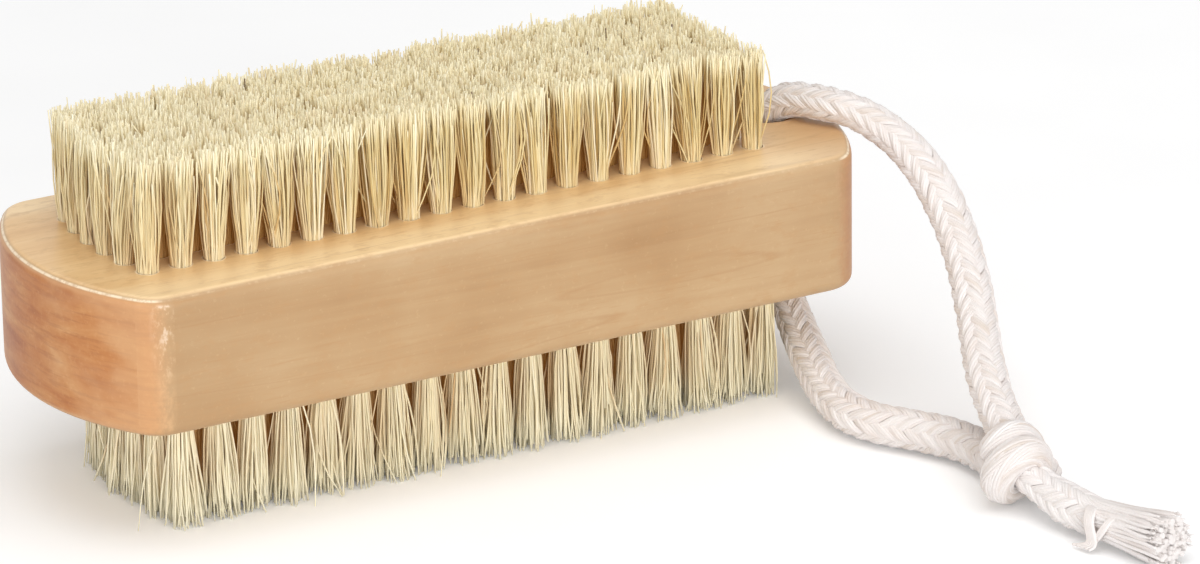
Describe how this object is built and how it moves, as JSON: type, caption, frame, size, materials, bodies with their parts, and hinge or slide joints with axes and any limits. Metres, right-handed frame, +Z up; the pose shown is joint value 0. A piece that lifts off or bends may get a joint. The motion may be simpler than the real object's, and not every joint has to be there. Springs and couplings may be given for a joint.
{
  "type": "nail brush",
  "caption": "Double-sided wooden nail brush: bow-ended block with natural bristle tufts on both faces and a knotted cotton hanging loop through one end.",
  "frame": {"origin": "under the middle of the block, on the surface that the lower bristle tips stand on", "axes": "+X along the block towards the end with the loop, +Y across the block away from the side the loop lies on, +Z up through the upper bristles"},
  "size_m": [0.1053, 0.0944, 0.042],
  "materials": {
    "wood": "clear satin lacquer on pale close-grained hardwood",
    "bristle": "natural plant fibre, straw-coloured, trimmed flat",
    "anchor_steel": "plain flat wire",
    "cotton": "undyed braided cotton"
  },
  "bodies": {
    "brush": {"handle_block": "wood", "upper_tufts_row_1": "bristle", "upper_tufts_row_2": "bristle", "upper_tufts_row_3": "bristle", "upper_tufts_row_4": "bristle", "upper_tufts_row_5": "bristle", "upper_tufts_row_6": "bristle", "lower_tufts_row_1": "bristle", "lower_tufts_row_2": "bristle", "lower_tufts_row_3": "bristle", "lower_tufts_row_4": "bristle", "lower_tufts_row_5": "bristle", "lower_tufts_row_6": "bristle", "upper_anchors_row_1": "anchor_steel", "upper_anchors_row_2": "anchor_steel", "upper_anchors_row_3": "anchor_steel", "upper_anchors_row_4": "anchor_steel", "upper_anchors_row_5": "anchor_steel", "upper_anchors_row_6": "anchor_steel", "lower_anchors_row_1": "anchor_steel", "lower_anchors_row_2": "anchor_steel", "lower_anchors_row_3": "anchor_steel", "lower_anchors_row_4": "anchor_steel", "lower_anchors_row_5": "anchor_steel", "lower_anchors_row_6": "anchor_steel"},
    "cord": {"cord_bore_run": "cotton", "cord_upper_leg": "cotton", "cord_lower_leg": "cotton", "cord_knot": "cotton", "cord_tail": "cotton", "cord_frayed_end": "cotton", "cord_short_tail": "cotton"}
  },
  "joints": [
    {"name": "cord_swing", "type": "hinge", "parent": "brush", "child": "cord", "pos_m": [0.0435, 0, 0.022], "axis": [0, 0, 1], "range_deg": [-5, 130]}
  ]
}
